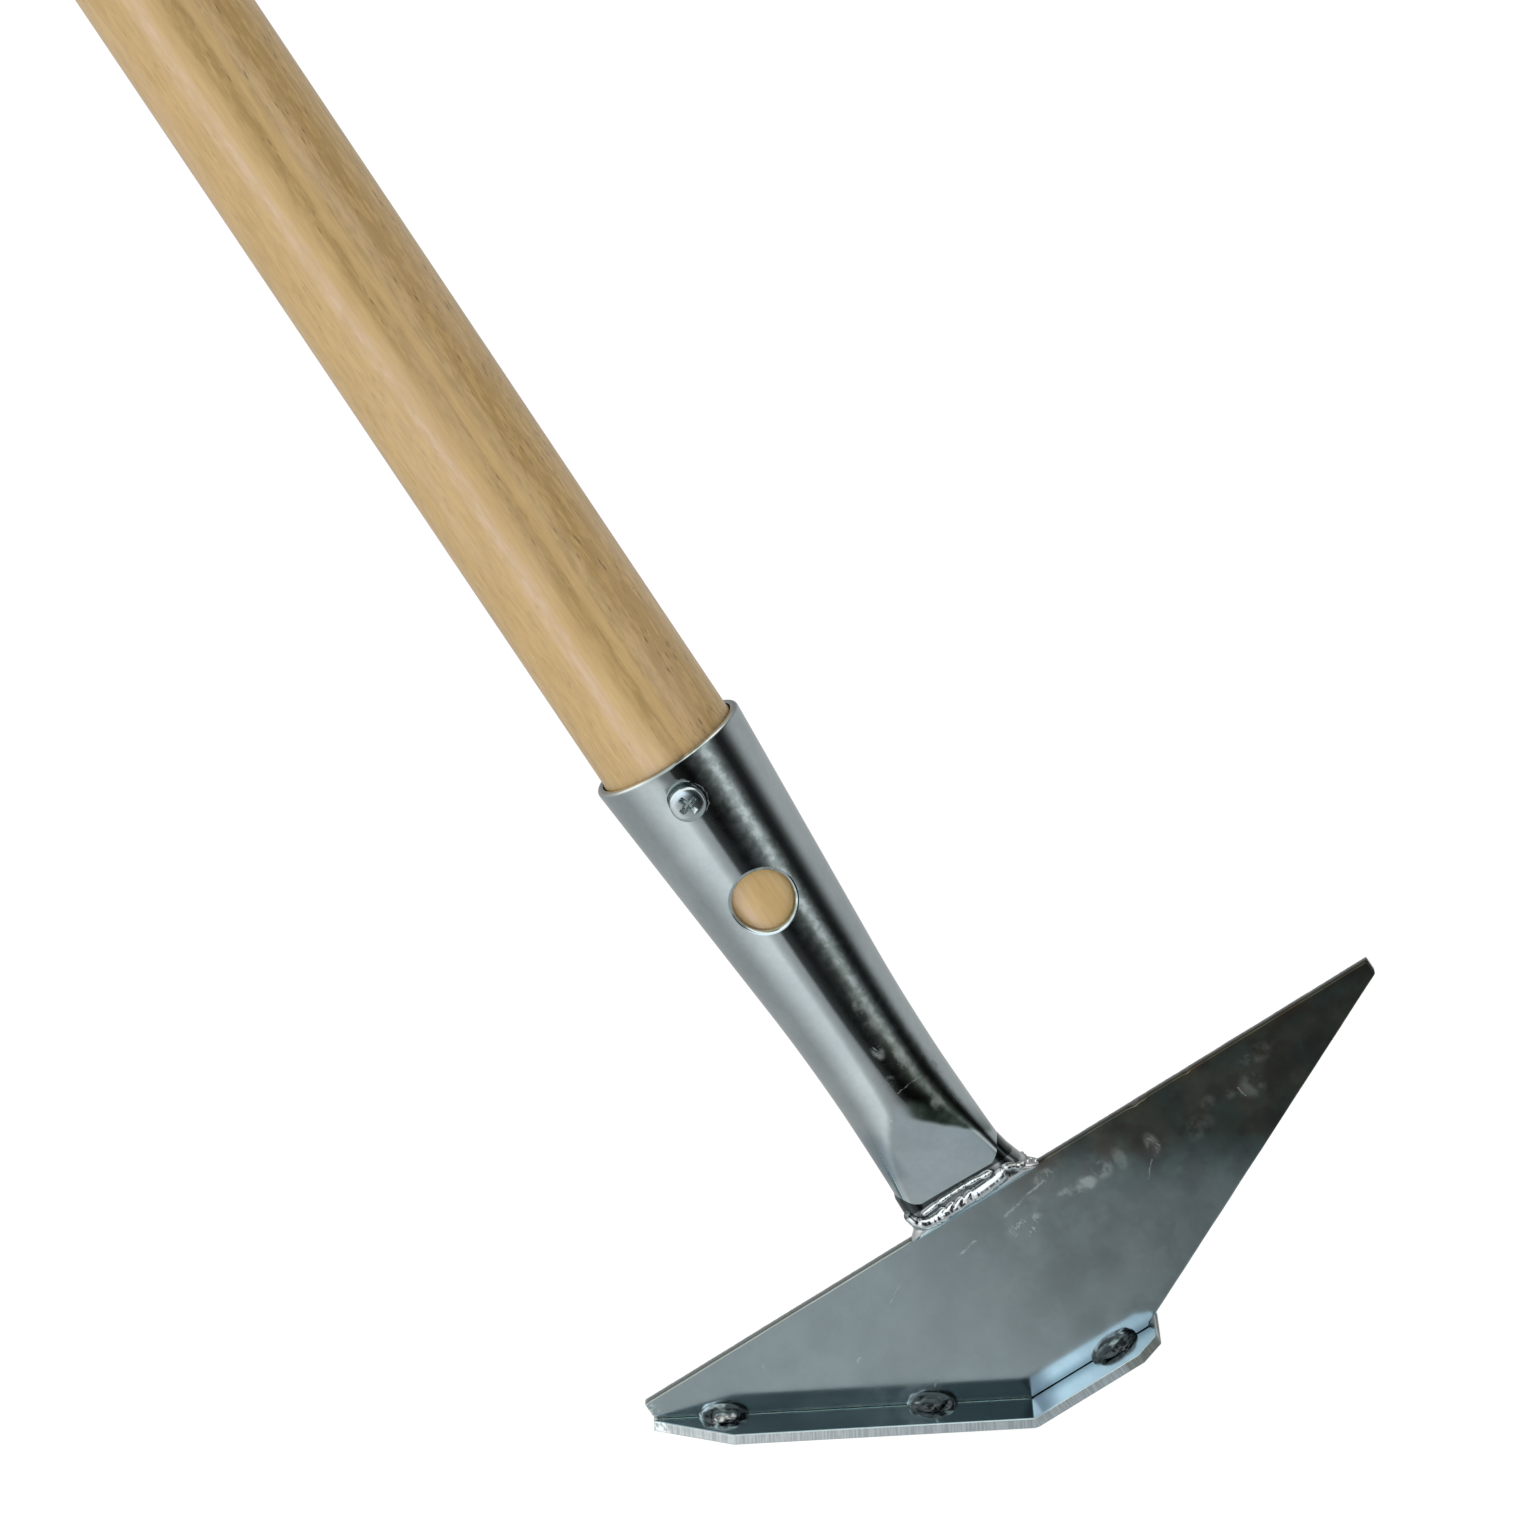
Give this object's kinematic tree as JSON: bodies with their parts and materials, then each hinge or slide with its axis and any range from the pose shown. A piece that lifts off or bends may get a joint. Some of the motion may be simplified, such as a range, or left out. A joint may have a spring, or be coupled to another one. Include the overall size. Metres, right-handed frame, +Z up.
{
  "type": "paving joint scraper",
  "caption": "Long handled paving joint scraper with a pointed steel blade, a folded sole strip, a tapered steel socket and a round ash handle.",
  "frame": {"origin": "where the handle's axis meets the underside of the sole strip's short level section", "axes": "+Z up along the handle's axis, -Y towards the front that shows the socket's hole and screw, +X along the blade towards its free, pointed end"},
  "size_m": [0.1667, 0.0334, 1.5884],
  "materials": {
    "ash_wood": "clear lacquer, satin",
    "zinc_socket": "bright zinc plated",
    "zinc_screw": "bright zinc plated",
    "zinc_blade": "zinc plated, lightly scratched",
    "zinc_sole": "zinc plated, sheared edges",
    "weld_metal": "rippled weld bead, zinc plated"
  },
  "bodies": {
    "root": {"handle": "ash_wood", "socket": "zinc_socket", "handle_screw": "zinc_screw", "blade": "zinc_blade", "sole_strip": "zinc_sole", "socket_weld": "weld_metal", "tack_weld_front_left": "weld_metal", "tack_weld_front_middle": "weld_metal", "tack_weld_front_right": "weld_metal", "tack_weld_back_left": "weld_metal", "tack_weld_back_middle": "weld_metal", "tack_weld_back_right": "weld_metal"}
  },
  "joints": []
}
